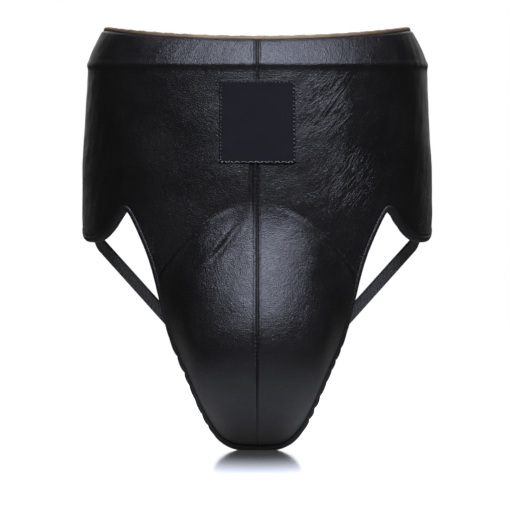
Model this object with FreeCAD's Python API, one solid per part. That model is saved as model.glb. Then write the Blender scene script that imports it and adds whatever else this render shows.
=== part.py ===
"""Groin protector: a padded leather guard with a hard cup, hip wings, a back belt and leg straps.

Frame: +Z up, the front faces -Y, the wearer's left side is at +X, sizes in millimetres.
The origin is the middle of the waist opening, level with the top of the hip wings.
The wall is drawn by wall(angle, z, depth): angle runs round the body from the front, positive
towards +X, z is the height and depth goes from the outer face towards the body.
"""
import FreeCAD, Part
import math
import os

V = FreeCAD.Vector
UP = V(0, 0, 1)

# Overall form
HEIGHT = 343.5            # top of the hip wings to the tip of the cup
HALF_WIDTH = 147.0        # outer face at the hips
HALF_DEPTH = 110.0        # outer face at the front of the abdomen, and of the belt at the back
WING_END = 132.0          # degrees round from the front, where each wing stops
RIM_DIP = 8.5             # the waist edge is this much lower at the front
REAR_DROP = 36.0          # and falls towards the back by up to this much
# Lower edge: (degrees round from the front, height above the tip of the cup)
LOWER_EDGE = [(0, 0), (8, 0.8), (10.6, 5.7), (13.5, 12.7), (16.3, 25), (19.2, 41.5), (22.9, 64.5),
              (29.2, 97.5), (31.4, 122.5), (34.4, 149.5), (39.8, 176.5), (48, 201.5), (52.4, 190.5), (60, 176.5),
              (67, 172), (76, 171.5), (90, 177.5), (110, 202.5), (132, 233.5)]
EDGE_ROUNDING = 3.0       # degrees over which the corners of the lower edge are eased

# Padded top roll
BEVEL_FRONT = 21.0        # height of the leaning top band at the front
BEVEL_SIDE = 30.0         # and at the hips
BEVEL_INSET = 13.0        # how far it leans in
WAIST_LEAN = 4.0          # gentle lean of the wall below it
LEAN_HEIGHT = 100.0       # over this height
LEAN_FADE = (95.0, 125.0)  # degrees over which both fade out on the wings
BEVEL_CURVE = 1.3         # power by which the band steepens towards the top

# Cup form
CUP_PROJECTION = 48.0     # how far the cup stands out from the wall
CUP_ARCH_TOP = 202.0      # top of its arch above the tip
CUP_ARCH_DROP = 66.0      # fall of the arch to its sides
CUP_ARCH_ANGLE = 35.0     # degrees round where that fall is reached
CUP_HALF_ANGLE = 47.0     # degrees round where the swelling ends
CUP_RISE = 125.0          # height over which it swells out
CUP_RETURN = 70.0         # distance from the lower edge over which it turns back
CROTCH_START = 197.5      # height above the tip where the panel starts to turn under the body
CROTCH_RETREAT = 50.0     # how far back it goes at the tip
CUP_CURVE = 2.2           # power of the cup's turn back at its edge
CROTCH_CURVE = 2.6        # power of the turn under the body

# Layers of the wall
PAD = 15.0                # full thickness of the wall
EDGE_PAD = 7.0            # thickness at its edges
PAD_TAPER = 26.0          # width of the taper from one to the other
LEATHER = 1.6
LINING = 1.2
LAYER_GAP = 0.3           # clearance between neighbouring layers
CUP_COVER = 5.7           # foam in front of the hard cup
CUP_WALL = 2.2            # the hard cup itself
CUP_REACH = 25.0          # degrees round from the front that the hard cup covers
CUP_MARGIN = 16.0         # its distance from the lower edge
CUP_TOP_MARGIN = 5.0      # its distance below the arch
CUP_SHOULDER = 40.0       # fall of its top edge at the sides
CUP_SQUARENESS = 4        # power of that fall
FOAM_SPLIT = 32.8         # degrees round where the front foam meets the hip foam
FOAM_MARGIN = 4.0         # foam stops this far from the wall's edges
HIP_FOAM_STOP = 1.5       # degrees that the hip foam stops short of the wing's end
COVER_STOP = 1.5          # degrees that the cup's cover foam stops short of the split

# Spacing of the points that draw the wall
GRID_ANGLE = 1.8          # degrees
GRID_HEIGHT = 7.0

# Seams, bindings and label
SEAM_HALF = 1.2           # half the width of the centre seam's groove
WELT_SINK = 0.6           # the welt lies this far down in it
RIM_BINDING = 2.8         # height of the rolled waist binding
LEG_BINDING = 4.5         # height of the rolled leg binding
BINDING_SIDE = 0.8        # straight part of a binding's sides
BINDING_STEP = 2.4        # degrees between the sections of the leg binding
RIM_STEP = 4.0            # and of the waist binding
SLOPE_STEP = 0.4          # degrees either side used to find the run of an edge
LABEL_WIDTH = 62.0
LABEL_TOP = -41.5
LABEL_HEIGHT = 67.5
LABEL_THICK = 0.8
SURFACE_GAP = 0.1         # between a sewn-on piece and what it lies on

# Back belt
BELT_HEIGHT = 88.0
BELT_MIDDLE = -70.0       # height of its middle line
BELT_THICK = 2.5
BELT_OVERLAP = 26.0       # degrees that the upper half laps over the lower half
BELT_CLEAR = 0.3          # running clearance at the belt's seams and closure
BELT_CENTRE_GAP = 1.0     # degrees that the lower half stops short of the back's middle
STEP_OUT_START = 3.0      # degrees past the seam where the upper half starts to step out
STEP_OUT_SPAN = 26.0      # degrees over which it does so
TAB_LEAD = 6.0            # degrees before the lower half's end where the upper tab starts
SEAM_STRIP = 2.0          # degrees covered by the strip that holds each belt seam
STRIP_GAP = 0.15          # degrees between the wing's end and the strip
SEAM_SINK = 1.6           # how far the strip's faces lie inside the wing's faces
TAB_LENGTH = 23.0         # degrees covered by the leather end tab of each belt half
TAB_HEIGHT = 78.0
GRIP_THICK = 1.2          # hook patch and loop patch
GRIP_MARGIN = 1.5         # degrees of bare tab round each patch
GRIP_HEIGHT = 66.0
ANCHOR_ANGLE = 11.0       # degrees covered by the reinforcement on each wing
ANCHOR_THICK = 1.5
ANCHOR_MARGIN = 4.0       # height of the reinforcement beyond the belt, above and below
ANCHOR_STOP = 0.5         # degrees that it stops short of the wing's end
ELASTIC_GAP = 0.1         # degrees between each elastic and its tab

# Leg straps
STRAP_WIDTH = 18.0
STRAP_THICK = 2.2
STRAP_ANGLE = 84.0        # degrees round where each strap meets the hip wing
STRAP_LEAD = 5.0          # degrees further back where its sewn end stops
STRAP_SEAT = -5.0         # height of the bend's corner above the lower edge
STRAP_SEWN = 28.0         # height of the sewn end above the bend
STRAP_BEND = 7.0          # length of the bend's lower leg
STRAP_BEND_SHARE = 0.4    # share of the sewn part taken by the bend
STRAP_SEAT_LIFT = 0.7     # clearance that lets the flat strap lie in the hollow of the wing
STRAP_FOOT_ANGLE = 5.0    # degrees round where each strap ends behind the cup
STRAP_FOOT_RISE = 43.0    # height of that end above the lower edge
STRAP_FOOT_TILT = 0.165   # clearance of its slanting end over the patch, as a share of the width
STRAP_TWIST = 0.20        # share of the strap over which it turns flat at the cup
TAB_THICK = 1.5           # leather tabs under the strap ends
TAB_HALF_ANGLE = 7.0      # degrees either side of the strap end
TAB_LOW = 4.0             # height of the tab's lower side above the lower edge
TAB_MARGIN = 4.0          # height of the tab beyond the strap's end
FOOT_PATCH_LOW = 16.0     # height of the foot patch's lower side above the lower edge
FOOT_PATCH_MARGIN = 16.0  # height of the foot patch beyond the strap's end
RUN_POINTS = 18           # sections along the straight run of a strap
BEND_POINTS = 7           # and round its bend
SEWN_POINTS = 6           # and along its sewn end
KEEPER_AT = 0.33          # where the keeper loop sits along the straight run
KEEPER_LENGTH = 8.0
KEEPER_WALL = 1.8
KEEPER_CLEAR = 0.4
TAIL_LENGTH = 40.0        # adjustable end that lies along each strap


def clip(t):
    return max(0.0, min(1.0, t))


def ease(t):
    t = clip(t)
    return t * t * (3 - 2 * t)


def through(points, t):
    """A smooth curve through the points that never swings past them."""
    slopes = []
    for i in range(len(points)):
        if i in (0, len(points) - 1):
            slopes.append(0.0)
            continue
        before = (points[i][1] - points[i - 1][1]) / (points[i][0] - points[i - 1][0])
        after = (points[i + 1][1] - points[i][1]) / (points[i + 1][0] - points[i][0])
        slopes.append(2 * before * after / (before + after) if before * after > 0 else 0.0)
    i = 0
    while i < len(points) - 2 and t > points[i + 1][0]:
        i += 1
    span = points[i + 1][0] - points[i][0]
    s = clip((t - points[i][0]) / span)
    return (points[i][1] * (1 + 2 * s) * (1 - s) ** 2
            + slopes[i] * span * s * (1 - s) ** 2
            + points[i + 1][1] * s * s * (3 - 2 * s)
            - slopes[i + 1] * span * s * s * (1 - s))


def rim(angle):
    """Height of the waist edge."""
    drop = RIM_DIP if abs(angle) < 90 else REAR_DROP
    return -drop * math.cos(math.radians(angle)) ** 2


def hem(angle):
    """Height of the lower edge: up the cup's side to the leg notch, then round the hip."""
    samples = [through(LOWER_EDGE, abs(abs(angle) + EDGE_ROUNDING * k / 3.0)) for k in range(-3, 4)]
    return -HEIGHT + sum(samples) / len(samples)


def arch(angle):
    """Height of the arch where the cup begins."""
    fall = (math.sin(math.radians(angle)) / math.sin(math.radians(CUP_ARCH_ANGLE))) ** 2
    return -HEIGHT + CUP_ARCH_TOP - CUP_ARCH_DROP * fall


def outward(angle):
    a = math.radians(angle)
    return V(math.sin(a) / HALF_WIDTH, -math.cos(a) / HALF_DEPTH, 0).normalize()


def plan(angle, z, depth=0.0):
    """A point on the plain oval of the body at this depth."""
    a = math.radians(angle)
    base = V(HALF_WIDTH * math.sin(a), -HALF_DEPTH * math.cos(a), z)
    return base - outward(angle) * depth


def lean(angle, z):
    """How far the top of the wall leans in."""
    side = math.sin(math.radians(angle)) ** 2
    band = BEVEL_FRONT + (BEVEL_SIDE - BEVEL_FRONT) * side
    bevel = clip((z - rim(angle) + band) / band) ** BEVEL_CURVE
    slow = ease((z - rim(angle) + band + LEAN_HEIGHT) / LEAN_HEIGHT)
    fade = 1 - ease((abs(angle) - LEAN_FADE[0]) / (LEAN_FADE[1] - LEAN_FADE[0]))
    return (BEVEL_INSET * bevel + WAIST_LEAN * slow) * fade


def swell(angle, z):
    """How far the cup stands out."""
    rise = ease((arch(angle) - z) / CUP_RISE)
    turn = 1 - (1 - clip((z - hem(angle)) / CUP_RETURN)) ** CUP_CURVE
    across = max(0.0, 1 - (math.sin(math.radians(angle)) / math.sin(math.radians(CUP_HALF_ANGLE))) ** 2)
    return CUP_PROJECTION * rise * turn * across if abs(angle) < CUP_HALF_ANGLE else 0.0


def retreat(angle, z):
    """How far the lower panel turns back under the body."""
    below = clip((CROTCH_START - HEIGHT - z) / CROTCH_START)
    return CROTCH_RETREAT * below ** CROTCH_CURVE * math.cos(math.radians(angle)) ** 2


def wall(angle, z, depth):
    return plan(angle, z, depth + lean(angle, z) - swell(angle, z)) + V(0, retreat(angle, z), 0)


def pad(angle, z):
    """Thickness of the padded wall, thinner towards its edges."""
    to_rear = math.radians(WING_END - abs(angle)) * (HALF_WIDTH + HALF_DEPTH) / 2
    inner = ease((rim(angle) - z) / PAD_TAPER) * ease((z - hem(angle)) / PAD_TAPER)
    return EDGE_PAD + (PAD - EDGE_PAD) * inner * ease(to_rear / PAD_TAPER)


def sharpen(line):
    """Control points whose smooth curve runs through the points of the line."""
    inner = [p - (a - p * 2 + b) * (1 / 6.0) for a, p, b in zip(line[1:], line[2:], line[3:])]
    return line[:2] + inner[:-1] + line[-2:] if len(line) > 5 else line


def surface(grid):
    """Smooth surface through the grid, with its borders on the grid's own borders."""
    rows = [sharpen(line) for line in grid]
    columns = [sharpen(list(line)) for line in zip(*rows)]
    poles = [list(line) for line in zip(*columns)]
    degrees = [min(3, len(poles) - 1), min(3, len(poles[0]) - 1)]
    knots = []
    counts = []
    for degree, size in zip(degrees, (len(poles), len(poles[0]))):
        spans = size - degree
        knots.append([float(i) / spans for i in range(spans + 1)])
        counts.append([degree + 1] + [1] * (spans - 1) + [degree + 1])
    skin = Part.BSplineSurface()
    skin.buildFromPolesMultsKnots(poles, counts[0], counts[1], knots[0], knots[1], False, False, *degrees)
    return skin


def between(outer, inner):
    """Closed solid between two grids of points."""
    a = surface(outer)
    b = surface(inner)
    faces = [a.toShape(), b.toShape()]
    for side in (0, 1):
        faces.append(Part.makeRuledSurface(a.uIso(side).toShape(), b.uIso(side).toShape(), 1))
        faces.append(Part.makeRuledSurface(a.vIso(side).toShape(), b.vIso(side).toShape(), 1))
    shell = Part.makeShell(faces)
    shell.sewShape()
    solid = Part.makeSolid(shell)
    if solid.Volume < 0:
        solid.reverse()
    return solid


def layer(start, end, low, high, near, far):
    """Solid layer of the wall from angle start to end, between two heights and two depths."""
    columns = max(6, int(abs(end - start) / GRID_ANGLE) + 2)
    probes = [start + (end - start) * k / 8.0 for k in range(9)]
    tallest = max(high(angle) - low(angle) for angle in probes)
    rows = max(6, int(tallest / GRID_HEIGHT) + 2)
    grids = []
    for depth in (near, far):
        grid = []
        for i in range(columns):
            angle = start + (end - start) * i / (columns - 1)
            line = []
            for j in range(rows):
                z = low(angle) + (high(angle) - low(angle)) * j / (rows - 1)
                line.append(wall(angle, z, depth(angle, z)))
            grid.append(line)
        grids.append(grid)
    return between(*grids)


def at(depth):
    return lambda angle, z: depth


def inside(depth):
    """A depth counted outwards from the body side of the wall."""
    return lambda angle, z: pad(angle, z) - depth


def roll(start, end, edge, height, direction, step):
    """Rolled binding along an edge of the wall, closing its thickness."""
    columns = max(4, int(abs(end - start) / step) + 1)
    arc = []
    chord = []
    for i in range(columns):
        angle = start + (end - start) * i / (columns - 1)
        z = edge(angle)
        face = wall(angle, z, 0)
        back = wall(angle, z, pad(angle, z))
        before = angle - SLOPE_STEP
        after = angle + SLOPE_STEP
        along = wall(after, edge(after), 0) - wall(before, edge(before), 0)
        across = back - face
        out = along.cross(across).normalize()
        if out.z * direction < 0:
            out = out * -1
        middle = (face + back) * 0.5 + out * LAYER_GAP
        line = []
        for k in range(9):
            turn = math.pi * k / 8
            tall = BINDING_SIDE + (height - BINDING_SIDE) * math.sin(turn)
            line.append(middle - across * (0.5 * math.cos(turn)) + out * tall)
        arc.append(line)
        chord.append([middle - across * (0.5 - k / 4.0) for k in range(5)])
    return between(arc, chord)


def oval_strip(start, end, near, far, low, high, round_start=False, points=24):
    """Upright strip of the back belt; near and far are depths as functions of the angle."""
    angles = [start + (end - start) * i / (points - 1) for i in range(points)]
    outer = [plan(a, low, near(a)) for a in angles]
    inner = [plan(a, low, far(a)) for a in angles]
    edges = []
    for line in (outer, inner):
        curve = Part.BSplineCurve()
        curve.interpolate(line)
        edges.append(curve.toShape())
    edges.append(Part.LineSegment(outer[-1], inner[-1]).toShape())
    if round_start:
        middle = (outer[0] + inner[0]) * 0.5
        back = (outer[0] - outer[1]).normalize() * ((outer[0] - inner[0]).Length / 2)
        edges.append(Part.Arc(outer[0], middle + back, inner[0]).toShape())
    else:
        edges.append(Part.LineSegment(outer[0], inner[0]).toShape())
    face = Part.Face(Part.Wire(Part.__sortEdges__(edges)))
    return face.extrude(UP * (high - low))


def frame_on(side, point, along, width):
    """Unit directions of a strap: along it, across its width and through it towards the leg."""
    along = V(along).normalize()
    width = (width - along * width.dot(along)).normalize()
    return point, along, width, along.cross(width) * side


def lining_normal(angle, z):
    """Direction out of the body square to the lining, whose thickness tapers at the edges."""
    point = lambda a, height: wall(a, height, pad(a, height))
    round_it = point(angle + SLOPE_STEP, z) - point(angle - SLOPE_STEP, z)
    up_it = point(angle, z + SLOPE_STEP) - point(angle, z - SLOPE_STEP)
    return round_it.cross(up_it).normalize()


def strap_route(side):
    """Frames along a leg strap, from behind the cup to the inside of the hip wing."""
    foot_angle = side * STRAP_FOOT_ANGLE
    foot_z = hem(foot_angle) + STRAP_FOOT_RISE
    lift = LAYER_GAP + TAB_THICK + LAYER_GAP + STRAP_THICK / 2
    foot_lift = lift + STRAP_FOOT_TILT * STRAP_WIDTH
    foot = wall(foot_angle, foot_z, pad(foot_angle, foot_z) + foot_lift)
    low = hem(side * STRAP_ANGLE) + STRAP_SEAT
    sewn = []
    facing = []
    for i in range(SEWN_POINTS + 1):
        share = i / float(SEWN_POINTS)
        angle = side * (STRAP_ANGLE + STRAP_LEAD * share)
        z = low + STRAP_SEWN * share
        facing.append(lining_normal(angle, max(z, low - STRAP_SEAT)))
        sewn.append(wall(angle, z, pad(angle, z)) - facing[-1] * (lift + STRAP_SEAT_LIFT))
    seat = sewn[0]
    run = (seat - foot).normalize()
    level = run.cross(outward(side * STRAP_ANGLE)).normalize() * side
    flat_foot = (wall(foot_angle, foot_z - 6, 0) - wall(foot_angle, foot_z + 6, 0)).normalize()
    bend = seat - run * STRAP_BEND
    frames = []
    for i in range(RUN_POINTS + 1):
        share = i / float(RUN_POINTS)
        turn = ease(share / STRAP_TWIST)
        width = flat_foot * (1 - turn) + level * turn
        frames.append(frame_on(side, foot + (bend - foot) * share, run, width))
    last = int(round(STRAP_BEND_SHARE * SEWN_POINTS))
    steps = [b - a for a, b in zip(sewn, sewn[1:])]
    across = [step.cross(normal).normalize() * side for step, normal in zip(steps, facing[1:])]
    for i in range(1, BEND_POINTS + 1):
        t = i / float(BEND_POINTS)
        point = bend * (1 - t) ** 2 + seat * (2 * t * (1 - t)) + sewn[last] * t * t
        along = (seat - bend) * (1 - t) + (sewn[last] - seat) * t
        frames.append(frame_on(side, point, along, level * (1 - t) + across[last - 1] * t))
    for i in range(last + 1, SEWN_POINTS + 1):
        frames.append(frame_on(side, sewn[i], steps[i - 1], across[i - 1]))
    return frames


def ribbon(frames, width, thick, shift=0.0):
    """Flat band that follows the frames, shifted through its thickness."""
    grids = []
    for face in (-0.5, 0.5):
        grid = []
        for point, along, across, through_it in frames:
            middle = point + through_it * (face * thick + shift)
            grid.append([middle + across * (width * k / 4.0) for k in (-2, -1, 0, 1, 2)])
        grids.append(grid)
    return between(*grids)


def strap_straight(side):
    """Frame of the straight run of a leg strap at the keeper."""
    frames = strap_route(side)
    foot = frames[0][0]
    bend = frames[RUN_POINTS][0]
    point, along, across, through_it = frames[RUN_POINTS - 2]
    return foot + (bend - foot) * KEEPER_AT, along, across, through_it


def block(place, length, width, thick, shift=0.0):
    """Box lying along a strap."""
    point, along, _, through_it = place
    across = through_it.cross(along)
    box = Part.makeBox(length, width, thick, V(-length / 2, -width / 2, -thick / 2 + shift))
    turn = FreeCAD.Placement(FreeCAD.Matrix(
        along.x, across.x, through_it.x, point.x,
        along.y, across.y, through_it.y, point.y,
        along.z, across.z, through_it.z, point.z,
        0, 0, 0, 1))
    box.Placement = turn
    return box


def save(name, shape):
    shape.exportStep(os.path.join("parts", name + ".step"))
    kind = "ok" if shape.isValid() and shape.Volume > 0 else "BAD"
    print("%-26s %s %.0f mm3" % (name, kind, shape.Volume))


def sides():
    return (("left", 1), ("right", -1))


def outer_skin():
    start = math.degrees(math.asin(SEAM_HALF / HALF_WIDTH))
    for name, side in sides():
        save("outer_leather_" + name, layer(side * start, side * WING_END, hem, rim, at(0), at(LEATHER)))
        save("lining_" + name, layer(side * start, side * WING_END, hem, rim, inside(LINING), inside(0)))
    welt = start * (SEAM_HALF - LAYER_GAP) / SEAM_HALF
    save("centre_welt", layer(-welt, welt, hem, rim, at(WELT_SINK), at(LEATHER)))


def bindings():
    start = math.degrees(math.asin(LAYER_GAP / 2 / HALF_WIDTH))
    save("waist_binding", roll(-WING_END, WING_END, rim, RIM_BINDING, 1, RIM_STEP))
    for name, side in sides():
        around = roll(side * start, side * WING_END, hem, LEG_BINDING, -1, BINDING_STEP)
        save("leg_binding_" + name, around)


def foams():
    near = LEATHER + LAYER_GAP
    far = LINING + LAYER_GAP
    high = lambda angle: rim(angle) - FOAM_MARGIN
    low = lambda angle: hem(angle) + FOAM_MARGIN
    top_of_cup = lambda angle: arch(angle) - LAYER_GAP
    save("abdominal_foam", layer(-FOAM_SPLIT, FOAM_SPLIT, arch, high, at(near), inside(far)))
    for name, side in sides():
        gap = math.degrees(LAYER_GAP / HALF_DEPTH)
        end = WING_END - HIP_FOAM_STOP
        start = FOAM_SPLIT + gap
        save("hip_foam_" + name, layer(side * start, side * end, low, high, at(near), inside(far)))
    cover = lambda angle, z: min(near + CUP_COVER, pad(angle, z) - far)
    reach = FOAM_SPLIT - COVER_STOP
    save("cup_cover_foam", layer(-reach, reach, low, top_of_cup, at(near), cover))
    back = near + CUP_COVER + LAYER_GAP
    save("hard_cup", layer(-CUP_REACH, CUP_REACH, cup_low, cup_high, at(back), at(back + CUP_WALL)))
    inner = at(back + CUP_WALL + LAYER_GAP)
    save("cup_inner_foam", layer(-CUP_REACH, CUP_REACH, inner_low, cup_high, inner, inside(far + LAYER_GAP)))


def cup_low(angle):
    return hem(angle) + CUP_MARGIN


def inner_low(angle):
    return hem(angle) + PAD_TAPER + FOAM_MARGIN


def cup_high(angle):
    return arch(angle) - CUP_TOP_MARGIN - CUP_SHOULDER * (angle / CUP_REACH) ** CUP_SQUARENESS


def label():
    reach = math.degrees(math.asin(LABEL_WIDTH / 2 / HALF_WIDTH))
    top = lambda angle: LABEL_TOP
    bottom = lambda angle: LABEL_TOP - LABEL_HEIGHT
    save("label_patch", layer(-reach, reach, bottom, top, at(-SURFACE_GAP - LABEL_THICK), at(-SURFACE_GAP)))


def hinge_angle():
    """Degrees round where each belt half turns on its seam."""
    edge = WING_END + SEAM_STRIP
    radius = (plan(edge + 0.5, 0) - plan(edge - 0.5, 0)).Length
    return edge + (BELT_THICK / 2 + BELT_CLEAR) / radius


def outer_run(angle):
    """Depth of the middle of the half that ends on top: it steps out before the back's middle."""
    out = BELT_THICK + 2 * GRIP_THICK + 2 * SURFACE_GAP + BELT_CLEAR
    return EDGE_PAD / 2 - out * ease((abs(angle) - hinge_angle() - STEP_OUT_START) / STEP_OUT_SPAN)


def lower_run(angle):
    """Depth of the middle of the half that ends underneath."""
    return EDGE_PAD / 2


def belt_strip(start, end, run, inner, outer, height, round_start=False):
    """Strip of the belt between two depths counted from the middle of its run."""
    return oval_strip(start, end, lambda a: run(a) + inner, lambda a: run(a) + outer,
                      BELT_MIDDLE - height / 2, BELT_MIDDLE + height / 2, round_start)


def belt_seams():
    low = lambda angle: BELT_MIDDLE - BELT_HEIGHT / 2 - ANCHOR_MARGIN
    high = lambda angle: BELT_MIDDLE + BELT_HEIGHT / 2 + ANCHOR_MARGIN
    for name, side in sides():
        save("belt_seam_strip_" + name,
             layer(side * (WING_END + STRIP_GAP), side * (WING_END + SEAM_STRIP), hem, rim,
                   at(SEAM_SINK), at(EDGE_PAD - SEAM_SINK)))
        save("belt_anchor_" + name,
             layer(side * (WING_END - ANCHOR_ANGLE), side * (WING_END - ANCHOR_STOP), low, high,
                   at(-SURFACE_GAP - ANCHOR_THICK), at(-SURFACE_GAP)))


def belt():
    hinge = hinge_angle()
    half = BELT_THICK / 2
    grip = half + SURFACE_GAP
    # The right half stops short of the middle of the back and carries the loop patch outside.
    end = 180 - BELT_CENTRE_GAP
    tab = end - TAB_LENGTH
    save("belt_elastic_right",
         belt_strip(-hinge, -tab + ELASTIC_GAP, lower_run, -half, half, BELT_HEIGHT, True))
    save("belt_tab_right", belt_strip(-tab, -end, lower_run, -half, half, TAB_HEIGHT))
    save("loop_patch", belt_strip(-tab - GRIP_MARGIN, -end + GRIP_MARGIN, lower_run,
                                  -grip - GRIP_THICK, -grip, GRIP_HEIGHT))
    # The left half laps over it from outside and carries the hook patch inside.
    lap = 180 + BELT_OVERLAP
    start = end - TAB_LEAD
    save("belt_elastic_left",
         belt_strip(hinge, start - ELASTIC_GAP, outer_run, -half, half, BELT_HEIGHT, True))
    save("belt_tab_left", belt_strip(start, lap, outer_run, -half, half, TAB_HEIGHT))
    save("hook_patch", belt_strip(180 + BELT_CENTRE_GAP + GRIP_MARGIN, lap - GRIP_MARGIN, outer_run,
                                  grip, grip + GRIP_THICK, GRIP_HEIGHT))


def leg_straps():
    for name, side in sides():
        frames = strap_route(side)
        save("leg_strap_" + name, ribbon(frames, STRAP_WIDTH, STRAP_THICK))
        place = strap_straight(side)
        tail_shift = STRAP_THICK + LAYER_GAP
        save("strap_tail_" + name, block(place, TAIL_LENGTH, STRAP_WIDTH, STRAP_THICK, tail_shift))
        stack = 2 * STRAP_THICK + LAYER_GAP
        window = (STRAP_WIDTH + 2 * KEEPER_CLEAR, stack + 2 * KEEPER_CLEAR)
        shift = tail_shift / 2
        outer = block(place, KEEPER_LENGTH, window[0] + 2 * KEEPER_WALL, window[1] + 2 * KEEPER_WALL, shift)
        hole = block(place, KEEPER_LENGTH + 2, window[0], window[1], shift)
        save("strap_keeper_" + name, outer.cut(hole))
        seat = side * (STRAP_ANGLE + STRAP_LEAD / 2)
        low = lambda a: hem(a) + TAB_LOW
        high = lambda a: hem(a) + STRAP_SEAT + STRAP_SEWN + TAB_MARGIN
        save("strap_tab_" + name, layer(seat - TAB_HALF_ANGLE, seat + TAB_HALF_ANGLE, low, high,
                                        inside(-LAYER_GAP), inside(-LAYER_GAP - TAB_THICK)))
    foot_low = lambda a: hem(a) + FOOT_PATCH_LOW
    foot_high = lambda a: hem(a) + STRAP_FOOT_RISE + FOOT_PATCH_MARGIN
    save("strap_foot_patch", layer(-TAB_HALF_ANGLE, TAB_HALF_ANGLE, foot_low, foot_high,
                                   inside(-LAYER_GAP), inside(-LAYER_GAP - TAB_THICK)))


os.makedirs("parts", exist_ok=True)
outer_skin()
bindings()
foams()
label()
belt_seams()
belt()
leg_straps()
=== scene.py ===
"""Looks of the groin protector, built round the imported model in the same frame.

The wall of the guard is drawn by the same formula as the construction: wall(angle, z, depth), with the
angle in degrees round the body from the front, the height z and the depth from the outer face in
millimetres. Meshes are turned to metres as they are made.
"""
import math

import bpy
import numpy as np
from mathutils import Matrix, Vector

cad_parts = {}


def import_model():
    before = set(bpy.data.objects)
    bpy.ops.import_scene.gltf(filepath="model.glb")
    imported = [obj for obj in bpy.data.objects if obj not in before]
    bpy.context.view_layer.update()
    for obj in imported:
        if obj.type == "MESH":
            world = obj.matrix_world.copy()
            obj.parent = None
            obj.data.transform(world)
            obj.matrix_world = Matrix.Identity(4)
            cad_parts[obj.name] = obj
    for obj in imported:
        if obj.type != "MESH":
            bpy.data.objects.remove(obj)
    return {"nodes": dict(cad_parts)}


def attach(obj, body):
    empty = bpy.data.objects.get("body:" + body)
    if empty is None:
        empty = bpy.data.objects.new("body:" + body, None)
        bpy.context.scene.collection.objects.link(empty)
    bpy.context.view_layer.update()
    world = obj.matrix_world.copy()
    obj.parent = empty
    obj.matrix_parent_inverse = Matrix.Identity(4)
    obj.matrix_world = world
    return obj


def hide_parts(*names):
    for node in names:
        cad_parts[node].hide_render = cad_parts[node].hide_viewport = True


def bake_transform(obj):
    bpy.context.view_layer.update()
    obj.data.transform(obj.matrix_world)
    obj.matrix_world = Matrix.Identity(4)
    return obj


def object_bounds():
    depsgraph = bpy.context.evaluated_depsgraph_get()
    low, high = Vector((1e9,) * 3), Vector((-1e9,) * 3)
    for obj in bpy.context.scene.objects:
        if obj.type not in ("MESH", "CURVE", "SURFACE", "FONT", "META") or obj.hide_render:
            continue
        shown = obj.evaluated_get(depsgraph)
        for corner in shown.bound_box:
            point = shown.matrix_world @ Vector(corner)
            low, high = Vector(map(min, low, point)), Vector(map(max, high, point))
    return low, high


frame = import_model()
CAD_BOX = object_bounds()
MM = 0.001

# Form of the wall, label, belt and leg straps, as in the construction
HEIGHT, HALF_WIDTH, HALF_DEPTH = 343.5, 147.0, 110.0
WING_END, RIM_DIP, REAR_DROP = 132.0, 8.5, 36.0
LOWER_EDGE = [(0, 0), (8, 0.8), (10.6, 5.7), (13.5, 12.7), (16.3, 25), (19.2, 41.5), (22.9, 64.5),
              (29.2, 97.5), (31.4, 122.5), (34.4, 149.5), (39.8, 176.5), (48, 201.5), (52.4, 190.5),
              (60, 176.5), (67, 172), (76, 171.5), (90, 177.5), (110, 202.5), (132, 233.5)]
EDGE_ROUNDING = 3.0
BEVEL_FRONT, BEVEL_SIDE, BEVEL_INSET, BEVEL_CURVE = 21.0, 30.0, 13.0, 1.3
WAIST_LEAN, LEAN_HEIGHT, LEAN_FADE = 4.0, 100.0, (95.0, 125.0)
CUP_PROJECTION, CUP_ARCH_TOP, CUP_ARCH_DROP, CUP_ARCH_ANGLE = 48.0, 202.0, 66.0, 35.0
CUP_HALF_ANGLE, CUP_RISE, CUP_RETURN, CUP_CURVE = 47.0, 125.0, 70.0, 2.2
CROTCH_START, CROTCH_RETREAT, CROTCH_CURVE = 197.5, 50.0, 2.6
PAD, EDGE_PAD, PAD_TAPER = 15.0, 7.0, 26.0
LABEL_WIDTH, LABEL_TOP, LABEL_HEIGHT = 62.0, -41.5, 67.5
BELT_HEIGHT, BELT_MIDDLE, BELT_THICK = 88.0, -70.0, 2.5
BELT_OVERLAP, BELT_CENTRE_GAP, SEAM_STRIP, TAB_LENGTH, TAB_HEIGHT = 26.0, 1.0, 2.0, 23.0, 78.0
GRIP_THICK, GRIP_MARGIN, GRIP_HEIGHT, ANCHOR_ANGLE = 1.2, 1.5, 66.0, 11.0
ANCHOR_THICK, ANCHOR_MARGIN, STEP_OUT_START, STEP_OUT_SPAN, TAB_LEAD = 1.5, 4.0, 3.0, 26.0, 6.0
BELT_CLEAR, SURFACE_GAP, LAYER_GAP = 0.3, 0.1, 0.3
STRAP_WIDTH, STRAP_THICK, STRAP_ANGLE, STRAP_LEAD, STRAP_SEAT, STRAP_SEWN = 18.0, 2.2, 84.0, 5.0, -5.0, 28.0
STRAP_BEND, STRAP_BEND_SHARE, STRAP_SEAT_LIFT = 7.0, 0.4, 0.7
STRAP_FOOT_ANGLE, STRAP_FOOT_RISE, STRAP_FOOT_TILT = 5.0, 43.0, 0.165
STRAP_TWIST, TAB_THICK, TAB_HALF_ANGLE, KEEPER_AT, TAIL_LENGTH = 0.20, 1.5, 7.0, 0.33, 40.0
TAB_LOW, TAB_MARGIN, FOOT_PATCH_LOW, FOOT_PATCH_MARGIN, SLOPE_STEP = 4.0, 4.0, 16.0, 16.0, 0.4

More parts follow.
